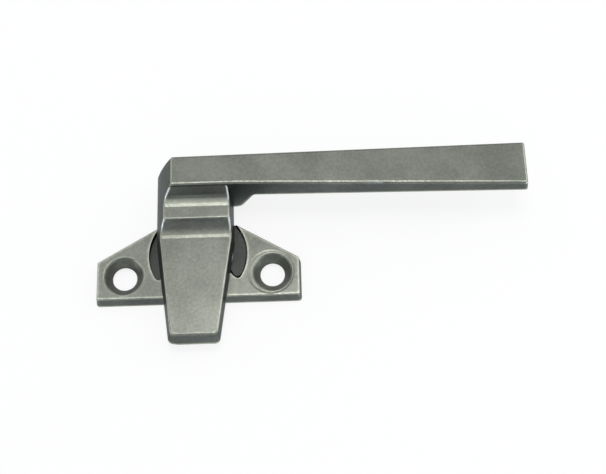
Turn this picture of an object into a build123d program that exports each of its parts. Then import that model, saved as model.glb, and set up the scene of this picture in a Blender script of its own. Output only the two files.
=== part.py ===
"""Cam handle for a hinged window sash, in millimetres.

A cast base plate carries a cast one-piece handle that turns on a riveted pivot stud.
X runs along the screw line, with the arm towards +X in the locked position.
Y runs away from the locking tongue, and Z points out of the mounting face.
The origin is midway between the two screw holes, on the mounting face.
"""
from build123d import *
import os
from math import atan2, cos, degrees, hypot, radians, sin, tan

# Base plate: sizes in plan are at its top face
SCREW_SPACING = 44.45
BASE_THICKNESS = 4.8
BASE_HALF_LENGTH = 30.25
BASE_FRONT = 7.32
EAR_BACK = 4.47
BACK_EDGE_ANGLE = 30.5
NOSE_RADIUS = 12.0
BASE_CORNER_RADIUS = 0.45
BASE_DRAFT = 7.0
BASE_EDGE_RADIUS = 0.3

# Countersunk screw holes, the right one in a shallow dish
HOLE_RADIUS = 3.67
COUNTERSINK_RADIUS = 6.05
COUNTERSINK_ANGLE = 82.0
RIM_RADIUS = 0.2
DISH_RADIUS = 7.15
DISH_DEPTH = 0.14
DISH_WALL_ANGLE = 75.0
DISH_SHIFT = 0.4

# Cored underside of the two ears
EAR_PLATE = 3.1
RIM_WALL = 2.0
CENTRE_PAD_RADIUS = 16.2

# Round well for the handle's boss and stop flange
PIVOT_Y = 6.25
WELL_RADIUS = 14.85
WELL_FLOOR = 2.6
WELL_DRAFT = 3.0
STOP_INNER_RADIUS = 10.85
STOP_FACE_OFFSET = 1.8
STOP_FACE_NORMAL = 47.5
STOP_DRAFT = 12.0
STOP_CORNER_RADIUS = 1.2

# Pivot stack, from the well down to the mounting face
PIVOT_RADIUS = 3.0
BORE_CLEARANCE = 0.05
STUD_TOP = 9.2
STUD_END_GAP = 0.3
SHOULDER_Z = 0.9
NECK_RADIUS = 2.25
HEAD_RADIUS = 3.7
HEAD_TOP = 0.5
HEAD_BOTTOM = 0.1
RECESS_RADIUS = 6.0
RECESS_DEPTH = 1.35
WASHER_RADIUS = 5.6
SPRING_STRIP = 0.3
FRICTION_WASHER_RADIUS = 10.2
FRICTION_WASHER_THICKNESS = 0.2

# Handle: heights
HANDLE_UNDERSIDE = 5.15
TONGUE_TOP = 10.8
TREAD_TOP = 14.5
ARM_TOP = 20.5
RUNNING_GAP = 0.03

# Handle: tongue, with its plan sizes at its top face
HANDLE_CENTRE = -0.7
TONGUE_TIP = -21.05
TONGUE_TIP_HALF_WIDTH = 6.9
TONGUE_DRAFT = 11.5
TONGUE_RIGHT_DRAFT = 2.5
TONGUE_CORNER_RADIUS = 1.6
RAMP_HEIGHT = 0.9
RAMP_WIDTH = 3.2
RAMP_BACK = -9.5

# Handle: stepped hub
LOWER_STEP_FOOT = 9.2
TREAD_FRONT = 13.95
TREAD_BACK = 17.8
COVE_FOOT_SLOPE = 8.0
COVE_FOOT_RADIUS = 6.0
COVE_FOOT_TURN = 9.0
UPPER_COVE_TOP = (20.75, 16.2)
RISER_TOP = 19.4
HUB_LEFT_BOTTOM = -12.45
HUB_LEFT_TOP = -6.75
HUB_END_RADIUS = 70.0
HUB_RIGHT_BOTTOM = 10.9
HUB_RIGHT_AT_TREAD = 10.15

# Handle: arm, with its plan sizes at its top face
ARM_TIP = 98.4
ARM_FRONT_AT_HUB = 22.2
ARM_FRONT_AT_TIP = 19.3
ARM_BACK_AT_HUB = 31.55
ARM_BACK_AT_TIP = 32.75
ARM_DRAFT = 3.0
ARM_ROOT_UNDERSIDE = 13.1
ARM_TIP_UNDERSIDE = 16.1
ARM_END_DRAFT = 6.0
HAUNCH_START = 17.3
HAUNCH_FOOT = 13.1
HAUNCH_TOP_RADIUS = 1.5
HAUNCH_FOOT_RADIUS = 3.0
ARM_BEND = 12.3
ARM_CORNER_RADIUS = 0.7

# Handle: boss and stop flange under the hub
BOSS_RADIUS = 10.5
FLANGE_RADIUS = 14.35
FLANGE_TOP = 4.2
FLANGE_END_LEAN = 30.0
FLANGE_END_REACH = 9.0
STOP_CLEARANCE = 0.1
TRAVEL = 90.0

ARM_EDGE_RADIUS = 0.8
STEP_EDGE_RADIUS = 0.6

# Largest gap at which two places count as the same
SAME_PLACE = 0.01

BOSS_FOOT = WELL_FLOOR + FRICTION_WASHER_THICKNESS + RUNNING_GAP
PIVOT = Pos(0, PIVOT_Y, 0)


def polar(radius, angle):
    """Point at a radius and an angle in degrees about the pivot."""
    return (radius * cos(radians(angle)), radius * sin(radians(angle)))


def climb(edge):
    """Height between the two ends of an edge."""
    return abs((edge @ 0).Z - (edge @ 1).Z)


def disc(radius, bottom, top):
    """Cylinder about Z between two heights."""
    return Pos(0, 0, bottom) * extrude(Circle(radius), top - bottom)


def base_outline():
    """Top outline of the base: straight front, two ears and a rounded nose at the back."""
    nose_y = EAR_BACK + BASE_HALF_LENGTH * tan(radians(BACK_EDGE_ANGLE))
    corners = [
        (-BASE_HALF_LENGTH, -BASE_FRONT),
        (BASE_HALF_LENGTH, -BASE_FRONT),
        (BASE_HALF_LENGTH, EAR_BACK),
        (0, nose_y),
        (-BASE_HALF_LENGTH, EAR_BACK),
    ]
    outline = make_face(Polyline(*corners, close=True))
    nose = outline.vertices().sort_by(Axis.Y)[-1]
    outline = fillet(nose, NOSE_RADIUS)
    ears = [v for v in outline.vertices() if abs(v.X) > BASE_HALF_LENGTH - SAME_PLACE]
    return fillet(ears, BASE_CORNER_RADIUS)


def base_block():
    """Drafted plate, wider at the mounting face."""
    grow = BASE_THICKNESS * tan(radians(BASE_DRAFT))
    foot = offset(base_outline(), grow, kind=Kind.ARC)
    return extrude(foot, BASE_THICKNESS, taper=BASE_DRAFT)


def stop_block():
    """Sector left standing on the tongue side of the well, which both flange ends stop against."""
    rise = BASE_THICKNESS - WELL_FLOOR
    spread = STOP_FACE_OFFSET + rise * tan(radians(STOP_DRAFT))
    apex = (0, spread / sin(radians(STOP_FACE_NORMAL)))
    reach = 2 * WELL_RADIUS
    run = (reach * sin(radians(STOP_FACE_NORMAL)), -reach * cos(radians(STOP_FACE_NORMAL)))
    corners = [apex, (-run[0], apex[1] + run[1]), (run[0], apex[1] + run[1])]
    wedge = extrude(make_face(Polyline(*corners, close=True)), rise, taper=STOP_DRAFT)
    return Pos(0, 0, WELL_FLOOR) * wedge - disc(STOP_INNER_RADIUS, WELL_FLOOR, BASE_THICKNESS)


def well():
    """Space that the handle's boss and flange turn in, with round corners at the stop faces."""
    rise = BASE_THICKNESS - WELL_FLOOR
    floor_radius = WELL_RADIUS - rise * tan(radians(WELL_DRAFT))
    bowl = Pos(0, 0, WELL_FLOOR) * extrude(Circle(floor_radius), rise, taper=-WELL_DRAFT)
    space = bowl - stop_block()
    upright = [e for e in space.edges() if climb(e) > rise / 2]
    mid_radius = (floor_radius + STOP_INNER_RADIUS) / 2
    at_stops = [e for e in upright if hypot((e @ 0.5).X, (e @ 0.5).Y) > mid_radius]
    return PIVOT * fillet(at_stops, STOP_CORNER_RADIUS)


def screw_hole(top):
    """Countersunk hole about the origin, with its rim at a height."""
    cone = (COUNTERSINK_RADIUS - HOLE_RADIUS) / tan(radians(COUNTERSINK_ANGLE / 2))
    profile = [
        (0, 0),
        (HOLE_RADIUS, 0),
        (HOLE_RADIUS, top - cone),
        (COUNTERSINK_RADIUS, top),
        (0, top),
    ]
    return revolve(Plane.XZ * make_face(Polyline(*profile, close=True)), Axis.Z)


def dish():
    """Shallow dish about the origin, with its foot at the height 0."""
    foot_radius = DISH_RADIUS - DISH_DEPTH * tan(radians(DISH_WALL_ANGLE))
    return extrude(Circle(foot_radius), DISH_DEPTH, taper=-DISH_WALL_ANGLE)


def with_screw_holes(base):
    """Base with its left hole in the plain top, its right hole in the dish, and both rims rounded."""
    hole_x = SCREW_SPACING / 2
    dish_z = BASE_THICKNESS - DISH_DEPTH
    base -= Pos(-hole_x, 0, 0) * screw_hole(BASE_THICKNESS)
    base -= Pos(hole_x - DISH_SHIFT, 0, dish_z) * dish()
    base -= Pos(hole_x, 0, 0) * screw_hole(dish_z)
    circles = base.edges().filter_by(GeomType.CIRCLE)
    rims = [e for e in circles if abs(e.radius - COUNTERSINK_RADIUS) < SAME_PLACE]
    return fillet(rims, RIM_RADIUS)


def ear_core():
    """Cored space under both ears, inside a rim and clear of the centre pad."""
    core = extrude(offset(base_outline(), -RIM_WALL), BASE_THICKNESS - EAR_PLATE)
    return core - PIVOT * disc(CENTRE_PAD_RADIUS, 0, BASE_THICKNESS)


def base_plate():
    base = base_block()
    top_edges = base.edges().group_by(Axis.Z)[-1]
    base = fillet(top_edges, BASE_EDGE_RADIUS)
    base -= well()
    base -= PIVOT * disc(PIVOT_RADIUS + BORE_CLEARANCE, 0, WELL_FLOOR)
    base -= PIVOT * disc(RECESS_RADIUS, 0, RECESS_DEPTH)
    base -= ear_core()
    return with_screw_holes(base)


def friction_washer():
    ring = disc(FRICTION_WASHER_RADIUS, 0, FRICTION_WASHER_THICKNESS)
    ring -= disc(PIVOT_RADIUS + 2 * BORE_CLEARANCE, 0, FRICTION_WASHER_THICKNESS)
    return PIVOT * Pos(0, 0, WELL_FLOOR) * ring


def spring_washer():
    """Coned disc spring between the well's floor and the flat washer."""
    inner = PIVOT_RADIUS + 2 * BORE_CLEARANCE
    lift = RECESS_DEPTH - SHOULDER_Z - SPRING_STRIP - RUNNING_GAP
    foot = SHOULDER_Z + RUNNING_GAP
    section = [
        (inner, foot),
        (WASHER_RADIUS, foot + lift),
        (WASHER_RADIUS, foot + lift + SPRING_STRIP),
        (inner, foot + SPRING_STRIP),
    ]
    return PIVOT * revolve(Plane.XZ * make_face(Polyline(*section, close=True)), Axis.Z)


def flat_washer():
    """Steel washer held between the stud's shoulder and its spun end."""
    blank = disc(WASHER_RADIUS, HEAD_TOP, SHOULDER_Z)
    return PIVOT * (blank - disc(NECK_RADIUS, HEAD_TOP, SHOULDER_Z))


def pivot_stud():
    """Shouldered steel stud: blind in the hub, spun over below the flat washer."""
    crown = (HEAD_TOP - HEAD_BOTTOM) / 2
    outline = [
        (0, HEAD_BOTTOM),
        (HEAD_RADIUS - crown, HEAD_BOTTOM),
        (HEAD_RADIUS, HEAD_BOTTOM + crown),
        (HEAD_RADIUS, HEAD_TOP),
        (NECK_RADIUS, HEAD_TOP),
        (NECK_RADIUS, SHOULDER_Z),
        (PIVOT_RADIUS, SHOULDER_Z),
        (PIVOT_RADIUS, STUD_TOP - crown),
        (PIVOT_RADIUS - crown, STUD_TOP),
        (0, STUD_TOP),
    ]
    return PIVOT * revolve(Plane.XZ * make_face(Polyline(*outline, close=True)), Axis.Z)


def hub_left_at(z):
    """X of the hub's left end at a height: an arc, gently crowned in front view."""
    run = HUB_LEFT_TOP - HUB_LEFT_BOTTOM
    rise = ARM_TOP - HANDLE_UNDERSIDE
    chord = hypot(run, rise)
    from_chord = (HUB_END_RADIUS**2 - (chord / 2) ** 2) ** 0.5 / chord
    centre_x = (HUB_LEFT_TOP + HUB_LEFT_BOTTOM) / 2 + from_chord * rise
    centre_z = (ARM_TOP + HANDLE_UNDERSIDE) / 2 - from_chord * run
    return centre_x - (HUB_END_RADIUS**2 - (z - centre_z) ** 2) ** 0.5


def hub_left_edge(top):
    """The hub's left end in front view, from the underside up to a height."""
    heights = (HANDLE_UNDERSIDE, (HANDLE_UNDERSIDE + top) / 2, top)
    return ThreePointArc(*[(hub_left_at(z), z) for z in heights])


def hub_right_at(z):
    """X of the hub's straight right side at a height."""
    share = (z - HANDLE_UNDERSIDE) / (TREAD_TOP - HANDLE_UNDERSIDE)
    return HUB_RIGHT_BOTTOM + (HUB_RIGHT_AT_TREAD - HUB_RIGHT_BOTTOM) * share


def front_view(right_side):
    """Face seen from the front: the hub's left end, closed by a list of (x, z) points."""
    left = hub_left_edge(ARM_TOP)
    return make_face(left + Polyline(left @ 1, *right_side, left @ 0))


def cove(foot, top):
    """Hollow riser in side view: a wide arc from a slight slope at its foot, then a tighter one."""
    start = JernArc(foot, polar(1, COVE_FOOT_SLOPE), COVE_FOOT_RADIUS, COVE_FOOT_TURN)
    return start + TangentArc(start @ 1, top, tangent=start % 1)


def hub_side_view():
    """Side view of the steps: two coved risers, with one flat tread between them."""
    foot = (LOWER_STEP_FOOT, TONGUE_TOP)
    nose = (TREAD_FRONT, TREAD_TOP)
    tread_back = (TREAD_BACK, TREAD_TOP)
    back = ARM_BACK_AT_HUB - 5
    corners = [(ARM_FRONT_AT_HUB, RISER_TOP), (back, RISER_TOP), (back, HANDLE_UNDERSIDE)]
    rest = Polyline(UPPER_COVE_TOP, *corners, (LOWER_STEP_FOOT, HANDLE_UNDERSIDE), foot)
    return make_face(cove(foot, nose) + Line(nose, tread_back) + cove(tread_back, UPPER_COVE_TOP) + rest)


def hub():
    """Stepped block between the arm and the tongue."""
    steps = extrude(Plane.YZ * hub_side_view(), 2 * HUB_RIGHT_BOTTOM, both=True)
    right = [(hub_right_at(ARM_TOP), ARM_TOP), (HUB_RIGHT_BOTTOM, HANDLE_UNDERSIDE)]
    return steps & extrude(Plane.XZ * front_view(right), -ARM_BACK_AT_HUB)


def arm_front_view():
    """Arm, haunch and back of the hub in front view."""
    fall = (ARM_TIP_UNDERSIDE - ARM_ROOT_UNDERSIDE) / (ARM_TIP - HAUNCH_START)
    tip_foot = ARM_TIP + (ARM_TOP - ARM_TIP_UNDERSIDE) * tan(radians(ARM_END_DRAFT))
    root = (HAUNCH_START, ARM_ROOT_UNDERSIDE)
    foot = (HAUNCH_FOOT, HANDLE_UNDERSIDE)
    tip = (tip_foot, ARM_TIP_UNDERSIDE + fall * (tip_foot - ARM_TIP))
    view = front_view([(ARM_TIP, ARM_TOP), tip, root, foot])
    for corner, radius in ((root, HAUNCH_TOP_RADIUS), (foot, HAUNCH_FOOT_RADIUS)):
        vertex = view.vertices().sort_by_distance(corner)[0]
        view = fillet(vertex, radius)
    return view


def arm_section(x, front, back):
    """Section of the arm square to X, drafted on both sides, from the top down to the underside."""
    spread = (ARM_TOP - HANDLE_UNDERSIDE) * tan(radians(ARM_DRAFT))
    outline = [
        (x, front, ARM_TOP),
        (x, back, ARM_TOP),
        (x, back + spread, HANDLE_UNDERSIDE),
        (x, front - spread, HANDLE_UNDERSIDE),
    ]
    return make_face(Polyline(*outline, close=True))


def arm():
    """Tapered arm, with the back of the hub and the haunch under its root."""
    front_slope = (ARM_FRONT_AT_TIP - ARM_FRONT_AT_HUB) / (ARM_TIP - ARM_BEND)
    back_slope = (ARM_BACK_AT_TIP - ARM_BACK_AT_HUB) / (ARM_TIP - HUB_LEFT_TOP)
    sections = []
    for x in (HUB_LEFT_BOTTOM - 1, ARM_BEND, ARM_TIP + 1):
        front = ARM_FRONT_AT_HUB + front_slope * max(0, x - ARM_BEND)
        back = ARM_BACK_AT_HUB + back_slope * (x - HUB_LEFT_TOP)
        sections.append(arm_section(x, front, back))
    return loft(sections, ruled=True) & extrude(Plane.XZ * arm_front_view(), -2 * ARM_BACK_AT_TIP)


def tongue():
    """Locking tongue, tapered in plan and drafted on its sides and tip."""
    height = TONGUE_TOP - HANDLE_UNDERSIDE
    spread = height * tan(radians(TONGUE_DRAFT))
    right_spread = height * tan(radians(TONGUE_RIGHT_DRAFT))
    left = hub_left_edge(TONGUE_TOP)
    right = [(hub_right_at(TONGUE_TOP), TONGUE_TOP), (HUB_RIGHT_BOTTOM, HANDLE_UNDERSIDE)]
    root = Plane.XZ.offset(-LOWER_STEP_FOOT) * make_face(left + Polyline(left @ 1, *right, left @ 0))
    left_x = HANDLE_CENTRE - TONGUE_TIP_HALF_WIDTH
    right_x = HANDLE_CENTRE + TONGUE_TIP_HALF_WIDTH
    low_y = TONGUE_TIP - spread
    tip = Polyline(
        (left_x - spread, low_y, HANDLE_UNDERSIDE),
        (left_x, TONGUE_TIP, TONGUE_TOP),
        (right_x, TONGUE_TIP, TONGUE_TOP),
        (right_x + right_spread, low_y, HANDLE_UNDERSIDE),
        close=True,
    )
    return loft([root, make_face(tip)], ruled=True)


def flange_plan():
    """Stop flange in plan about the pivot, with rounded ends that lean back from the stop faces."""
    drop = BASE_THICKNESS - BOSS_FOOT
    gap = STOP_FACE_OFFSET + drop * tan(radians(STOP_DRAFT)) + STOP_CLEARANCE + STOP_CORNER_RADIUS
    inset = FLANGE_RADIUS - STOP_CORNER_RADIUS
    first = STOP_FACE_NORMAL - degrees(atan2((inset**2 - gap**2) ** 0.5, gap))
    second = 180 - first - TRAVEL
    ends = []
    for end, lean, side in ((first, 90 + FLANGE_END_LEAN, 90), (second, -FLANGE_END_LEAN, -90)):
        point = Vector(*polar(inset, end)) + Vector(*polar(STOP_CORNER_RADIUS, lean + side))
        along = Vector(*polar(1, lean))
        ends.append((point + along * FLANGE_END_REACH, point - along * FLANGE_END_REACH))
    far = 3 * FLANGE_RADIUS
    corners = [ends[0][0], ends[0][1], (far, -far), (-far, -far), (-far, far), ends[1][1], ends[1][0]]
    plan = Circle(FLANGE_RADIUS) - make_face(Polyline(*corners, close=True))
    tips = [v for v in plan.vertices() if hypot(v.X, v.Y) > FLANGE_RADIUS - SAME_PLACE]
    return fillet(tips, STOP_CORNER_RADIUS)


def under_hub(outline):
    """Boss and stop flange, joined to the hub where they are under it."""
    flange = extrude(flange_plan(), FLANGE_TOP - BOSS_FOOT)
    riser = PIVOT * Pos(0, 0, FLANGE_TOP) * extrude(flange_plan(), HANDLE_UNDERSIDE - FLANGE_TOP)
    boss = PIVOT * disc(BOSS_RADIUS, BOSS_FOOT, HANDLE_UNDERSIDE)
    return PIVOT * Pos(0, 0, BOSS_FOOT) * flange + boss + (riser & outline)


def tongue_ramp():
    """Space under the tongue's left edge: a lead-in ramp on the side that meets the keeper first."""
    spread = (TONGUE_TOP - HANDLE_UNDERSIDE) * tan(radians(TONGUE_DRAFT))
    tip = Vector(HANDLE_CENTRE - TONGUE_TIP_HALF_WIDTH - spread, TONGUE_TIP - spread)
    root = Vector(HUB_LEFT_BOTTOM, LOWER_STEP_FOOT)
    heading = degrees(atan2(root.Y - tip.Y, root.X - tip.X))
    slope = RAMP_HEIGHT / RAMP_WIDTH
    past = 1
    corners = [(-past, -past), (-past, RAMP_HEIGHT + slope * past), (RAMP_WIDTH, 0), (RAMP_WIDTH, -past)]
    wedge = Plane.XZ * make_face(Polyline(*corners, close=True))
    cutter = extrude(wedge, -(RAMP_BACK - tip.Y + 2 * past))
    return Pos(tip.X, tip.Y - past, HANDLE_UNDERSIDE) * Rot(0, 0, heading - 90) * cutter


def rounded_arm():
    """Arm with its end corners and top edges rounded."""
    body = arm()
    upright = [e for e in body.edges() if climb(e) > (ARM_TOP - ARM_TIP_UNDERSIDE) / 2]
    at_tip = [e for e in upright if (e @ 0.5).X > ARM_TIP]
    at_back = [e for e in upright if (e @ 0.5).X < HUB_LEFT_TOP and (e @ 0.5).Y > ARM_BACK_AT_HUB]
    body = fillet(at_tip + at_back, ARM_CORNER_RADIUS)
    return fillet(body.edges().group_by(Axis.Z)[-1], ARM_EDGE_RADIUS)


def is_hollow(edge):
    """True for a line across the steps other than the tread's nose and the tongue's tip."""
    start, end = (edge @ 0).Y, (edge @ 1).Y
    convex = min(abs(start - TREAD_FRONT), abs(start - TONGUE_TIP)) < SAME_PLACE
    return abs(start - end) < SAME_PLACE and not convex


def rounded_steps():
    """Hub and tongue, with the tongue's corners and the top and side edges rounded."""
    body = hub() + tongue()
    at_tip = [e for e in body.edges() if (e @ 0.5).Y < TONGUE_TIP]
    upright = [e for e in at_tip if climb(e) > (TONGUE_TOP - HANDLE_UNDERSIDE) / 2]
    body = fillet(upright, TONGUE_CORNER_RADIUS)
    upper = [e for e in body.edges() if (e @ 0.5).Z > TONGUE_TOP - SAME_PLACE]
    edges = [e for e in upper if (e @ 0.5).Y < ARM_FRONT_AT_HUB and not is_hollow(e)]
    return fillet(edges, STEP_EDGE_RADIUS)


def handle():
    body = rounded_arm() + rounded_steps()
    outline = Pos(0, 0, FLANGE_TOP - HANDLE_UNDERSIDE) * body
    body += under_hub(outline)
    body -= tongue_ramp()
    return body - PIVOT * disc(PIVOT_RADIUS, 0, STUD_TOP + STUD_END_GAP)


PARTS = {
    "base_plate": base_plate,
    "handle": handle,
    "pivot_stud": pivot_stud,
    "friction_washer": friction_washer,
    "spring_washer": spring_washer,
    "flat_washer": flat_washer,
}

os.makedirs("parts", exist_ok=True)
for name, make in PARTS.items():
    export_step(make(), f"parts/{name}.step")
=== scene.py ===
"""Cam handle in satin bronze-grey cast metal, on a plain pale stage.

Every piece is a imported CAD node, given its finish here. Lengths are in metres.
"""
import math

import bpy
from bpy.props import FloatProperty, FloatVectorProperty, PointerProperty
from mathutils import Matrix, Vector


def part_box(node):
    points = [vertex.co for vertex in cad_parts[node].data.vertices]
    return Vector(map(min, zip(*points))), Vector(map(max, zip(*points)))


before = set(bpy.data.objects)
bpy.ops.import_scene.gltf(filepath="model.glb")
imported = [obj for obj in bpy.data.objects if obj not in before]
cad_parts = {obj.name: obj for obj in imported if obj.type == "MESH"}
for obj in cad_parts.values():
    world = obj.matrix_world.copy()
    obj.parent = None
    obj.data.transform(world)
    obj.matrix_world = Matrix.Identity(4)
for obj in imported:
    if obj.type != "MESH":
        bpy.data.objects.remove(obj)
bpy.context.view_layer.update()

bl_info = {
    "name": "Cam handle",
    "version": (1, 0, 0),
    "blender": (4, 5, 0),
    "location": "3D View > Sidebar > Cam handle",
    "description": "Finishes a cam handle with its base plate, lever and pivot stack",
    "category": "Object",
}

# Camera: the photo's width in pixels, the sensor's in millimetres, the near limit in metres
PHOTO_WIDTH = 606
SENSOR_WIDTH = 36
CLIP_START = 0.01

# Floor and world. SHOWN_WHITE is the share of plain white in what the camera and the metal
# see of the floor, and the rest is its lit surface with its shadows.
SHOWN_WHITE = 0.84
FLOOR_COLOUR = (0.88, 0.88, 0.88, 1)
FLOOR_ROUGHNESS = 0.9
FLOOR_SPECULAR = 0.1
WORLD_COLOUR = (0.92, 0.96, 1, 1)
WORLD_STRENGTH = 0.57

# Lamps: name, tilt to the front and lean to the right in degrees, size, watts, colour
LAMP_DISTANCE = 1.0
LAMPS = (
    ("key", -4, 0.5, (0.32, 0.32), 3.4, (1, 0.99, 0.97)),
    ("overhead", 0, 0, (1.6, 1.6), 1.5, (1, 1, 1)),
    ("right_window", -22, 42, (0.3, 0.3), 1.0, (1, 1, 1)),
    ("left_strip", -35, -66, (0.7, 0.3), 0.8, (0.95, 0.99, 1)),
    ("right_strip", -35, 66, (0.7, 0.3), 1.1, (0.95, 0.99, 1)),
    ("left_low", 65, -80, (0.5, 0.12), 0.6, (0.95, 0.99, 1)),
    ("right_low", 65, 80, (0.5, 0.12), 0.4, (0.95, 0.99, 1)),
)

# Colour sockets of the Mix node, which share their names with its other sockets
MIX_LOW, MIX_HIGH, MIX_RESULT = 6, 7, 2

# In each pair of mask limits below, the mask goes from none at the first to full at the second.

# Cast skin: noise, limits of its masks, shares of its height
FINE_NOISE = {"Detail": 3.0, "Roughness": 0.6}
BROAD_NOISE = {"Detail": 5.0, "Roughness": 0.62}
SPECKLE_RANGE = (0.3, 0.72)
BLOTCH_RANGE = (0.36, 0.66)
FINE_HEIGHT = 0.4
BROAD_HEIGHT = 1.3

# Worn edges, which also carry painted highlights: limits of the occlusion from inside, and the
# noise that breaks the mask up
WEAR_RANGE = (0.96, 0.66)
WEAR_SAMPLES = 8
WEAR_NOISE = {"Scale": 700.0, "Detail": 3.0}

# Limits of slope, as the upward part of the normal: 0 on a wall, 1 on a level face
FACE_SLOPE = (0.1, 0.8)
LEVEL_SLOPE = (0.98, 0.997)
NEARLY_LEVEL = (0.955, 0.987)
GENTLE_SLOPE = (0.8, 0.93)
ROUNDED_SLOPE = (0.45, 0.62)
STEP_END_SLOPE = (0.15, 0.3)
FOOT_SLOPE = (0.5, 0.8)
FOOT_LEVEL = (0.945, 0.972)

# Limits of the normal's sideways part, without its sign, and of its backward part
SIDE_TURN = (0.2, 0.45)
STEP_END_TURN = (0.12, 0.3)
STEP_END_FRONT = (-0.3, -0.45)

# Foot of the upper cove, just above the tread: limits of height from above and from below, and the
# strength of the highlight painted there
FOOT_TOP = (0.0156, 0.0151)
FOOT_BOTTOM = (0.01452, 0.01465)
FOOT_HIGHLIGHT = 2.4

# Well, where shade is painted: its limit in front, and how far its brink reaches outwards and
# upwards. The shelter is the share of rub and painted highlight that the brink loses.
WELL_FRONT = -0.0132
BRINK_OUT = 0.001
BRINK_UP = 0.0008
BRINK_SHELTER = 0.3

# Step ends, where glints are painted, lie behind the pivot and farther than this from the screw
# holes' axes
STEP_END_CLEARANCE = 0.0066

# Rings of painted highlight: how they fade with distance from the ring, then the back part of the
# screw holes' rims and the front part of the well's lip
RING_FADE = (0.0001, 0.0004)
HOLE_RIM_RADIUS = 0.00605
HOLE_RIM_BACK = (-0.003, 0.002)
LIP_OUT = 0.0001
LIP_BOTTOM = 0.0043
LIP_TOP = 0.005
LIP_FRONT = (-0.004, -0.009)
LIP_HIGHLIGHT = 3.0

# Cast metal. The last value is the share of the roughness lost on the step ends, where glints are
# painted.
CAST_TINT = (0.35, 0.37, 0.37, 1)
CAST_BUMP = 0.2
CAST_BUMP_DEPTH = 0.0002
SLOPE_BUMP_SHARE = 0.3
ROUGHNESS_SPREAD = 0.02
STEP_END_SMOOTHING = 0.5

# Turned steel: scale of a wave whose rings are one metre apart, and what the rings change
TURNED_SCALE = 0.32
TURNED_WAVE = {"Distortion": 1.5, "Detail": 2.0, "Detail Scale": 400.0}
TURNED_SHADE = 0.85
TURNED_ROUGHNESS = 0.12
TURNED_BUMP = {"Strength": 0.2, "Distance": 0.00005}

# Steel parts: node, material, roughness, share of the steel's brightness
STEEL_PARTS = (
    ("pivot_stud", "stud_steel", 0.3, 1.0),
    ("flat_washer", "washer_steel", 0.34, 1.0),
    ("spring_washer", "spring_steel", 0.4, 0.6),
)

# Nylon
NYLON_NOISE = {"Scale": 300.0, "Detail": 3.0}
NYLON_SHADE = 0.9
NYLON_ROUGHNESS = (0.42, 0.55)


class CastFinish(bpy.types.PropertyGroup):
    """Finish of the two castings, with painted light, shade, highlights and glints in its colours.
    """

    # Painted light: the faces that look upwards get this lighter colour.
    face: FloatVectorProperty(
        name="Faces", description="Colour of the faces that look upwards",
        subtype="COLOR", default=(0.212, 0.221, 0.192), min=0, max=1,
    )
    # Painted shade: the steep sides get this darker colour, so that they look as if in shade.
    side: FloatVectorProperty(
        name="Sides", description="Colour of the steep sides, left as cast",
        subtype="COLOR", default=(0.156, 0.170, 0.163), min=0, max=1,
    )
    # Painted shade: the inside of the well, under the lever, gets this dark colour.
    well: FloatVectorProperty(
        name="Well", description="Colour inside the round well, where the finish is thin and dark",
        subtype="COLOR", default=(0.057, 0.060, 0.056), min=0, max=1,
    )
    # Wear and painted highlight: the rubbed edges, and the highlights painted on shoulders, side
    # edges and rims, get this colour.
    rubbed_and_highlighted: FloatVectorProperty(
        name="Rubbed edge and highlight", description="Colour where the edges are rubbed bright",
        subtype="COLOR", default=(0.54, 0.56, 0.47), min=0, max=1,
    )
    # Painted glints: the rounded ends of the steps get this bright colour.
    step_end_glint: FloatVectorProperty(
        name="Step end glints", description="Colour of the bright rounded ends of the steps",
        subtype="COLOR", default=(0.88, 0.94, 0.96), min=0, max=1,
    )
    # Strength of the highlights painted on the gentle shoulders and the rims.
    shoulder_and_rim_highlight: FloatProperty(
        name="Front shoulders", description="How much rub the gentle shoulders and the rims have",
        subtype="FACTOR", default=0.3, min=0, max=1,
    )
    # Strength of the highlights painted on the rounded side edges.
    side_edge_highlight: FloatProperty(
        name="Side shoulders", description="How much rub the rounded side edges have",
        subtype="FACTOR", default=0.8, min=0, max=1,
    )
    blotch: FloatProperty(
        name="Blotches", description="How much darker the blotches are",
        subtype="FACTOR", default=0.18, min=0, max=1,
    )
    speckle: FloatProperty(
        name="Speckles", description="How much darker the fine speckles are",
        subtype="FACTOR", default=0.18, min=0, max=1,
    )
    roughness: FloatProperty(
        name="Roughness", description="Roughness of the satin metal",
        subtype="FACTOR", default=0.34, min=0, max=1,
    )
    metallic: FloatProperty(
        name="Metallic", description="How metallic the finish looks",
        subtype="FACTOR", default=0.86, min=0, max=1,
    )
    grain: FloatProperty(
        name="Grain", description="Size of the cast skin's grain",
        unit="LENGTH", default=0.0009, min=0.0001, max=0.01,
    )


class SmallPartsFinish(bpy.types.PropertyGroup):
    """Finish of the stud and the washers."""

    steel: FloatVectorProperty(
        name="Steel", description="Colour of the plated steel",
        subtype="COLOR", default=(0.56, 0.56, 0.55), min=0, max=1,
    )
    nylon: FloatVectorProperty(
        name="Nylon", description="Colour of the friction washer",
        subtype="COLOR", default=(0.78, 0.77, 0.71), min=0, max=1,
    )
    turning: FloatProperty(
        name="Turning marks", description="Pitch of the turned rings",
        unit="LENGTH", default=0.0008, min=0.0001, max=0.005,
    )


class StageSetup(bpy.types.PropertyGroup):
    """Camera and floor."""

    elevation: FloatProperty(
        name="Elevation", description="Camera height above the floor plane",
        subtype="ANGLE", default=math.radians(67.5),
    )
    roll: FloatProperty(
        name="Roll", description="Clockwise turn of the camera about its own axis",
        subtype="ANGLE", default=math.radians(1.814),
    )
    distance: FloatProperty(
        name="Distance", description="Camera to target",
        unit="LENGTH", default=0.395, min=0.1,
    )
    focal_px: FloatProperty(
        name="Focal length", description="Focal length in image pixels",
        default=1289, min=1,
    )
    target: FloatVectorProperty(
        name="Target", description="Point at the middle of the image",
        subtype="TRANSLATION", default=(0.031711, 0.012796, 0),
    )
    floor: FloatProperty(
        name="Floor size", description="Edge length of the floor",
        unit="LENGTH", default=6, min=1,
    )


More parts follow.
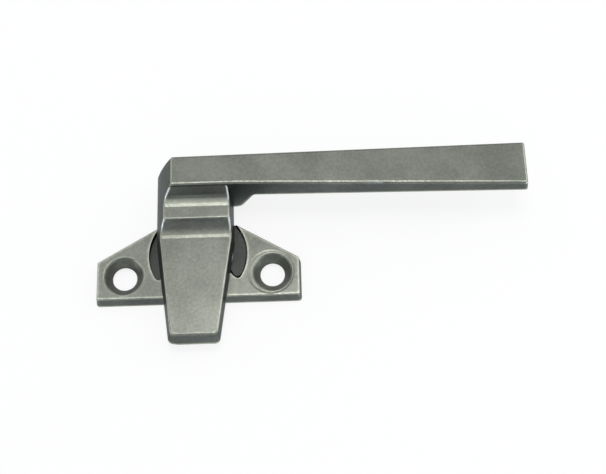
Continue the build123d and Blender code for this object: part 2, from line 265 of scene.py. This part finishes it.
class NodeSheet:
    """Adds nodes to a node tree and links them as they are made."""

    def __init__(self, tree):
        self.tree = tree
        self.tree.nodes.clear()

    def add(self, kind, inputs=None, **settings):
        node = self.tree.nodes.new(kind)
        for key, value in settings.items():
            setattr(node, key, value)
        for key, value in (inputs or {}).items():
            self.feed(node.inputs[key], value)
        return node

    def feed(self, socket, value):
        """Links the socket to another, or sets its value."""
        if isinstance(value, bpy.types.NodeSocket):
            self.tree.links.new(value, socket)
        elif socket.type == "RGBA" and len(value) == 3:
            socket.default_value = (*value, 1)
        else:
            socket.default_value = value

    def math(self, operation, *values, clamp=False):
        node = self.add("ShaderNodeMath", operation=operation, use_clamp=clamp)
        for socket, value in zip(node.inputs, values):
            self.feed(socket, value)
        return node.outputs[0]

    def product(self, first, *others):
        """All the values multiplied."""
        for other in others:
            first = self.math("MULTIPLY", first, other)
        return first

    def largest(self, first, *others):
        """The largest of all the values."""
        for other in others:
            first = self.math("MAXIMUM", first, other)
        return first

    def inverse(self, mask):
        return self.math("SUBTRACT", 1.0, mask)

    def length(self, across, along):
        """Length of the level vector with these two parts."""
        squares = [self.math("POWER", part, 2.0) for part in (across, along)]
        return self.math("SQRT", self.math("ADD", *squares))

    def ring(self, distance, radius):
        """Mask that is 1 where the distance is the radius, and fades on both sides."""
        off = self.math("ABSOLUTE", self.math("SUBTRACT", distance, radius))
        return self.inverse(self.ramp(off, *RING_FADE))

    def mix(self, factor, low, high):
        node = self.add("ShaderNodeMix", {"Factor": factor}, data_type="RGBA")
        self.feed(node.inputs[MIX_LOW], low)
        self.feed(node.inputs[MIX_HIGH], high)
        return node.outputs[MIX_RESULT]

    def ramp(self, value, low, high, bottom=0.0, top=1.0):
        """Goes smoothly from bottom to top as the value goes from low to high."""
        limits = {"From Min": low, "From Max": high, "To Min": bottom, "To Max": top}
        node = self.add(
            "ShaderNodeMapRange", {"Value": value, **limits}, interpolation_type="SMOOTHSTEP"
        )
        return node.outputs[0]

    def noise(self, **inputs):
        """Noise in the object's own coordinates; a Scale may be a number or a socket."""
        place = self.add("ShaderNodeTexCoord").outputs["Object"]
        return self.add("ShaderNodeTexNoise", {"Vector": place, **inputs}).outputs["Fac"]

    def from_pivot(self, pivot):
        """Position in the object's own coordinates, measured from the pivot."""
        local = self.add("ShaderNodeVectorMath", operation="SUBTRACT")
        self.feed(local.inputs[0], self.add("ShaderNodeTexCoord").outputs["Object"])
        self.feed(local.inputs[1], pivot)
        return local.outputs[0]

    def split(self, vector):
        return self.add("ShaderNodeSeparateXYZ", {"Vector": vector}).outputs


def open_group(name, inputs):
    """New shader node group with its inputs: its sheet and the input sockets."""
    group = bpy.data.node_groups.new(name, "ShaderNodeTree")
    for label, default in inputs.items():
        kind = "NodeSocketVector" if isinstance(default, tuple) else "NodeSocketFloat"
        socket = group.interface.new_socket(label, in_out="INPUT", socket_type=kind)
        socket.default_value = default
    sheet = NodeSheet(group)
    return sheet, sheet.add("NodeGroupInput").outputs


def close_group(sheet, results):
    """Gives the group its outputs, each a number."""
    for label in results:
        sheet.tree.interface.new_socket(label, in_out="OUTPUT", socket_type="NodeSocketFloat")
    sheet.add("NodeGroupOutput", results)
    return sheet.tree


def cast_skin_group():
    """Cast skin: fine grain and broad blotches, as masks and as a height."""
    sheet, given = open_group("cast_skin", {"Grain Size": 0.0009, "Blotch Size": 0.012})
    fine = sheet.noise(Scale=sheet.math("DIVIDE", 1.0, given["Grain Size"]), **FINE_NOISE)
    broad = sheet.noise(Scale=sheet.math("DIVIDE", 1.0, given["Blotch Size"]), **BROAD_NOISE)
    fine_height = sheet.math("MULTIPLY", fine, FINE_HEIGHT)
    broad_height = sheet.math("MULTIPLY", broad, BROAD_HEIGHT)
    return close_group(sheet, {
        "Blotch": sheet.ramp(broad, *BLOTCH_RANGE),
        "Speckle": sheet.ramp(fine, *SPECKLE_RANGE),
        "Height": sheet.math("ADD", fine_height, broad_height),
    })


def edge_rub_and_highlight_group():
    """Rubbed edges, partly wear and partly painted highlight: a mask that is high on convex edges,
    broken up by noise.
    """
    sheet, given = open_group("edge_rub_and_highlight", {"Width": 0.0011, "Break Up": 0.25})
    within = sheet.add(
        "ShaderNodeAmbientOcclusion", {"Distance": given["Width"]},
        inside=True, only_local=True, samples=WEAR_SAMPLES,
    ).outputs["AO"]
    sharp = sheet.ramp(within, *WEAR_RANGE)
    broken = sheet.math("MULTIPLY", sheet.noise(**WEAR_NOISE), given["Break Up"])
    return close_group(sheet, {"Mask": sheet.math("SUBTRACT", sharp, broken, clamp=True)})


def light_and_wear_group():
    """Masks for a casting: where light, shade, highlights and glints are painted, where the edges
    are rubbed, and where the rub and the painted highlights are held back. They come from the way
    the surface faces and from its place round the pivot.
    """
    sheet, given = open_group("light_and_wear_masks", {
        "Pivot": (0.0, 0.0, 0.0),
        "Well Radius": 0.0149,
        "Well Top": 0.0044,
        "Well Floor": 0.0022,
        "Hole Offset": 0.022225,
        "Hole Setback": 0.00625,
        "Hole Radius": 0.0056,
    })
    facing = sheet.split(sheet.add("ShaderNodeTexCoord").outputs["Normal"])
    place = sheet.split(sheet.from_pivot(given["Pivot"]))
    up, backward = facing["Z"], facing["Y"]
    sideways = sheet.math("ABSOLUTE", facing["X"])
    across, along, height = place["X"], place["Y"], place["Z"]
    radius = sheet.length(across, along)
    hole_across = sheet.math("SUBTRACT", sheet.math("ABSOLUTE", across), given["Hole Offset"])
    hole_along = sheet.math("ADD", along, given["Hole Setback"])
    from_hole = sheet.length(hole_across, hole_along)

    # Shoulders and step ends: painted highlights on gentle slopes, on the foot of the upper cove
    # and on rounded side edges, and painted glints on the rounded ends of the steps
    leaning = sheet.inverse(sheet.ramp(up, *NEARLY_LEVEL))
    gentle = sheet.product(sheet.ramp(up, *GENTLE_SLOPE), leaning)
    foot = sheet.product(
        sheet.ramp(height, *FOOT_TOP),
        sheet.ramp(height, *FOOT_BOTTOM),
        sheet.inverse(sheet.ramp(up, *FOOT_LEVEL)),
        sheet.ramp(up, *FOOT_SLOPE),
        FOOT_HIGHLIGHT,
    )
    side = sheet.product(sheet.ramp(sideways, *SIDE_TURN), sheet.ramp(up, *ROUNDED_SLOPE), leaning)
    step_end = sheet.product(
        sheet.ramp(sideways, *STEP_END_TURN),
        sheet.ramp(up, *STEP_END_SLOPE),
        sheet.ramp(backward, *STEP_END_FRONT),
        sheet.math("GREATER_THAN", from_hole, STEP_END_CLEARANCE),
        sheet.math("GREATER_THAN", along, 0.0),
    )

    # Well, where shade is painted, and the screw holes and the well's brink, where the rub and the
    # painted highlights are held back
    well = sheet.product(
        sheet.math("LESS_THAN", radius, given["Well Radius"]),
        sheet.math("LESS_THAN", height, given["Well Top"]),
        sheet.math("GREATER_THAN", height, given["Well Floor"]),
        sheet.math("GREATER_THAN", along, WELL_FRONT),
    )
    brink = sheet.product(
        sheet.math("LESS_THAN", radius, sheet.math("ADD", given["Well Radius"], BRINK_OUT)),
        sheet.math("LESS_THAN", height, sheet.math("ADD", given["Well Top"], BRINK_UP)),
        BRINK_SHELTER,
    )
    hole = sheet.math("LESS_THAN", from_hole, given["Hole Radius"])

    # Rims: painted highlights on the back part of the screw holes' rims and the front part of the
    # well's lip
    hole_rim = sheet.product(
        sheet.ring(from_hole, HOLE_RIM_RADIUS), sheet.ramp(hole_along, *HOLE_RIM_BACK)
    )
    lip = sheet.product(
        sheet.ring(radius, sheet.math("ADD", given["Well Radius"], LIP_OUT)),
        sheet.math("GREATER_THAN", height, LIP_BOTTOM),
        sheet.math("LESS_THAN", height, LIP_TOP),
        leaning,
        sheet.ramp(along, *LIP_FRONT),
        LIP_HIGHLIGHT,
    )
    return close_group(sheet, {
        "Face": sheet.ramp(up, *FACE_SLOPE),
        "Level": sheet.ramp(up, *LEVEL_SLOPE),
        "Shoulder Highlight": sheet.largest(gentle, foot),
        "Side Edge Highlight": side,
        "Step End Glint": step_end,
        "Well": well,
        "Sheltered": sheet.largest(hole, brink),
        "Rim Highlight": sheet.largest(hole_rim, lip),
    })


EFFECTS = {
    "cast_skin": cast_skin_group,
    "edge_rub_and_highlight": edge_rub_and_highlight_group,
    "light_and_wear_masks": light_and_wear_group,
}


def use_group(sheet, name, inputs=None):
    """Adds a shared effect, which is built at its first use: its output sockets."""
    group = bpy.data.node_groups.get(name) or EFFECTS[name]()
    return sheet.add("ShaderNodeGroup", inputs, node_tree=group).outputs


def new_material(name):
    """New material with one shader: the material, its sheet and the shader."""
    material = bpy.data.materials.new(name)
    material.use_nodes = True
    sheet = NodeSheet(material.node_tree)
    shader = sheet.add("ShaderNodeBsdfPrincipled")
    sheet.add("ShaderNodeOutputMaterial", {"Surface": shader.outputs["BSDF"]})
    return material, sheet, shader


def pivot_foot():
    """Point on the mounting plane below the pivot's axis."""
    low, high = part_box("pivot_stud")
    middle = (low + high) / 2
    return (middle.x, middle.y, 0.0)


def cast_metal(name, finish):
    """Satin cast metal: painted light on the upward faces, painted shade on the steep sides and in
    the well, rubbed edges with painted highlights, painted glints on the step ends, faint
    blotches.
    """
    material, sheet, shader = new_material(name)
    skin = use_group(sheet, "cast_skin", {"Grain Size": finish.grain})
    edge_rub_and_sheen = use_group(sheet, "edge_rub_and_highlight")
    place = use_group(sheet, "light_and_wear_masks", {"Pivot": pivot_foot()})
    exposed = sheet.inverse(place["Sheltered"])

    # Painted light and shade: lighter colour on the upward faces, darker colour on the steep
    # sides.
    colour = sheet.mix(place["Face"], finish.side, finish.face)
    # Rub on the convex edges, partly wear and partly painted highlight, with the painted
    # highlights of the shoulders, side edges and rims.
    rub_and_highlight = sheet.largest(
        edge_rub_and_sheen["Mask"],
        sheet.math("MULTIPLY", place["Shoulder Highlight"], finish.shoulder_and_rim_highlight),
        sheet.math("MULTIPLY", place["Side Edge Highlight"], finish.side_edge_highlight),
        sheet.math("MULTIPLY", place["Rim Highlight"], finish.shoulder_and_rim_highlight),
    )
    colour = sheet.mix(sheet.math("MULTIPLY", rub_and_highlight, exposed), colour, finish.rubbed_and_highlighted)
    # Painted glints on the rounded ends of the steps.
    step_end_glint = sheet.math("MULTIPLY", place["Step End Glint"], exposed)
    colour = sheet.mix(step_end_glint, colour, finish.step_end_glint)
    # Painted shade inside the well, under the lever.
    colour = sheet.mix(place["Well"], colour, finish.well)
    spots = sheet.math("MULTIPLY", sheet.inverse(skin["Blotch"]), finish.blotch)
    grain = sheet.math("MULTIPLY", sheet.inverse(skin["Speckle"]), finish.speckle)
    colour = sheet.mix(sheet.math("ADD", spots, grain), colour, (0, 0, 0))
    sheet.feed(shader.inputs["Base Color"], colour)

    rough = sheet.ramp(
        skin["Speckle"], 0, 1,
        finish.roughness + ROUGHNESS_SPREAD, finish.roughness - ROUGHNESS_SPREAD,
    )
    kept = sheet.inverse(sheet.math("MULTIPLY", step_end_glint, STEP_END_SMOOTHING))
    sheet.feed(shader.inputs["Roughness"], sheet.math("MULTIPLY", rough, kept))
    sheet.feed(shader.inputs["Metallic"], finish.metallic)
    sheet.feed(shader.inputs["Specular Tint"], CAST_TINT)
    strength = sheet.ramp(place["Level"], 0, 1, CAST_BUMP * SLOPE_BUMP_SHARE, CAST_BUMP)
    relief = sheet.add(
        "ShaderNodeBump",
        {"Height": skin["Height"], "Strength": strength, "Distance": CAST_BUMP_DEPTH},
    )
    sheet.feed(shader.inputs["Normal"], relief.outputs["Normal"])
    return material


def turned_steel(name, colour, pitch, roughness):
    """Plated steel with fine turned rings about the pivot."""
    material, sheet, shader = new_material(name)
    rings = sheet.add(
        "ShaderNodeTexWave",
        {"Vector": sheet.from_pivot(pivot_foot()), "Scale": TURNED_SCALE / pitch, **TURNED_WAVE},
        wave_type="RINGS", rings_direction="Z",
    ).outputs["Fac"]
    shade = [c * TURNED_SHADE for c in colour]
    sheet.feed(shader.inputs["Base Color"], sheet.mix(rings, shade, colour))
    rough = sheet.ramp(rings, 0, 1, roughness, roughness + TURNED_ROUGHNESS)
    sheet.feed(shader.inputs["Roughness"], rough)
    sheet.feed(shader.inputs["Metallic"], 1)
    relief = sheet.add("ShaderNodeBump", {"Height": rings, **TURNED_BUMP})
    sheet.feed(shader.inputs["Normal"], relief.outputs["Normal"])
    return material


def mottled_nylon(name, colour):
    """Natural nylon, faintly mottled."""
    material, sheet, shader = new_material(name)
    cloud = sheet.noise(**NYLON_NOISE)
    shade = [c * NYLON_SHADE for c in colour]
    sheet.feed(shader.inputs["Base Color"], sheet.mix(cloud, shade, colour))
    sheet.feed(shader.inputs["Roughness"], sheet.ramp(cloud, 0, 1, *NYLON_ROUGHNESS))
    return material


def dress(node, material):
    """Gives a CAD node its one material."""
    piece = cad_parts[node]
    piece.data.materials.clear()
    piece.data.materials.append(material)


class CAMHANDLE_OT_castings(bpy.types.Operator):
    """Finish the base plate and the lever in satin cast metal"""

    bl_idname = "camhandle.castings"
    bl_label = "Castings"

    def execute(self, context):
        finish = context.scene.cam_cast
        dress("base_plate", cast_metal("cast_base", finish))
        dress("handle", cast_metal("cast_handle", finish))
        return {"FINISHED"}


class CAMHANDLE_OT_pivot_stack(bpy.types.Operator):
    """Finish the stud and the washers of the pivot"""

    bl_idname = "camhandle.pivot_stack"
    bl_label = "Pivot stack"

    def execute(self, context):
        finish = context.scene.cam_small
        for node, name, roughness, share in STEEL_PARTS:
            colour = [c * share for c in finish.steel]
            dress(node, turned_steel(name, colour, finish.turning, roughness))
        dress("friction_washer", mottled_nylon("friction_nylon", finish.nylon))
        return {"FINISHED"}


def stage_material():
    """White floor, mostly shown as plain white to the camera and in the metal.

    The rest is its lit surface, which keeps a share of the shadows.
    """
    material, sheet, shader = new_material("stage_white")
    sheet.feed(shader.inputs["Base Color"], FLOOR_COLOUR)
    sheet.feed(shader.inputs["Roughness"], FLOOR_ROUGHNESS)
    sheet.feed(shader.inputs["Specular IOR Level"], FLOOR_SPECULAR)
    surface = shader.outputs["BSDF"].links[0].to_socket
    path = sheet.add("ShaderNodeLightPath").outputs
    seen = sheet.largest(path["Is Camera Ray"], path["Is Glossy Ray"], path["Is Transmission Ray"])
    shown = sheet.math("MULTIPLY", seen, SHOWN_WHITE)
    white = sheet.add("ShaderNodeEmission", {"Strength": 1.0})
    blend = sheet.add("ShaderNodeMixShader", {"Fac": shown})
    sheet.feed(blend.inputs[1], shader.outputs["BSDF"])
    sheet.feed(blend.inputs[2], white.outputs["Emission"])
    sheet.feed(surface, blend.outputs["Shader"])
    return material


def add_floor(size):
    """Square floor at height 0, under the object."""
    half = size / 2
    mesh = bpy.data.meshes.new("floor")
    corners = [(-half, -half, 0), (half, -half, 0), (half, half, 0), (-half, half, 0)]
    mesh.from_pydata(corners, [], [(0, 1, 2, 3)])
    mesh.materials.append(stage_material())
    floor = bpy.data.objects.new("floor", mesh)
    bpy.context.scene.collection.objects.link(floor)


def add_lamp(name, place, target, size, power, colour):
    """Rectangular lamp that shines from its place at the target."""
    data = bpy.data.lights.new(name, "AREA")
    data.shape = "RECTANGLE"
    data.size, data.size_y = size
    data.energy = power
    data.color = colour
    lamp = bpy.data.objects.new(name, data)
    lamp.location = place
    lamp.rotation_euler = (target - place).to_track_quat("-Z", "Y").to_euler()
    bpy.context.scene.collection.objects.link(lamp)


def add_world():
    """Even, slightly cool light from all sides."""
    world = bpy.data.worlds.new("studio")
    world.use_nodes = True
    background = world.node_tree.nodes["Background"]
    background.inputs["Color"].default_value = WORLD_COLOUR
    background.inputs["Strength"].default_value = WORLD_STRENGTH
    bpy.context.scene.world = world


def add_camera(setup):
    """Camera at the photograph's angle, aimed at the target and rolled."""
    data = bpy.data.cameras.new("camera")
    data.sensor_width = SENSOR_WIDTH
    data.lens = setup.focal_px / PHOTO_WIDTH * data.sensor_width
    data.clip_start = CLIP_START
    camera = bpy.data.objects.new("camera", data)
    back = Vector((0, -math.cos(setup.elevation), math.sin(setup.elevation)))
    place = Vector(setup.target) + back * setup.distance
    turn = (-back).to_track_quat("-Z", "Y").to_matrix() @ Matrix.Rotation(-setup.roll, 3, "Z")
    camera.matrix_world = Matrix.Translation(place) @ turn.to_4x4()
    bpy.context.scene.collection.objects.link(camera)
    bpy.context.scene.camera = camera


class CAMHANDLE_OT_stage(bpy.types.Operator):
    """Set up the floor, the lamps and the camera"""

    bl_idname = "camhandle.stage"
    bl_label = "Stage"

    def execute(self, context):
        setup = context.scene.cam_stage
        add_floor(setup.floor)
        aim = Vector(setup.target)
        for name, tilt, lean, size, power, colour in LAMPS:
            slant = (math.tan(math.radians(lean)), -math.tan(math.radians(tilt)), 1)
            place = aim + Vector(slant).normalized() * LAMP_DISTANCE
            add_lamp(name, place, aim, size, power, colour)
        add_world()
        context.scene.view_settings.view_transform = "Standard"
        add_camera(setup)
        return {"FINISHED"}


class CAMHANDLE_PT_panel(bpy.types.Panel):
    """Lists the steps that finish the cam handle"""

    bl_label = "Cam handle"
    bl_idname = "CAMHANDLE_PT_panel"
    bl_space_type = "VIEW_3D"
    bl_region_type = "UI"
    bl_category = "Cam handle"

    def draw(self, context):
        for key, group, operator in SECTIONS:
            box = self.layout.box()
            for setting in group.__annotations__:
                box.prop(getattr(context.scene, key), setting)
            box.operator(operator.bl_idname)


# Steps in order: scene property, its settings, the operator that uses them
SECTIONS = (
    ("cam_cast", CastFinish, CAMHANDLE_OT_castings),
    ("cam_small", SmallPartsFinish, CAMHANDLE_OT_pivot_stack),
    ("cam_stage", StageSetup, CAMHANDLE_OT_stage),
)


def register():
    for key, group, operator in SECTIONS:
        bpy.utils.register_class(group)
        bpy.utils.register_class(operator)
        setattr(bpy.types.Scene, key, PointerProperty(type=group))
    bpy.utils.register_class(CAMHANDLE_PT_panel)


def unregister():
    bpy.utils.unregister_class(CAMHANDLE_PT_panel)
    for key, group, operator in reversed(SECTIONS):
        delattr(bpy.types.Scene, key)
        bpy.utils.unregister_class(operator)
        bpy.utils.unregister_class(group)


def main():
    register()
    bpy.ops.camhandle.castings()
    bpy.ops.camhandle.pivot_stack()
    bpy.ops.camhandle.stage()


if __name__ == "__main__":
    main()
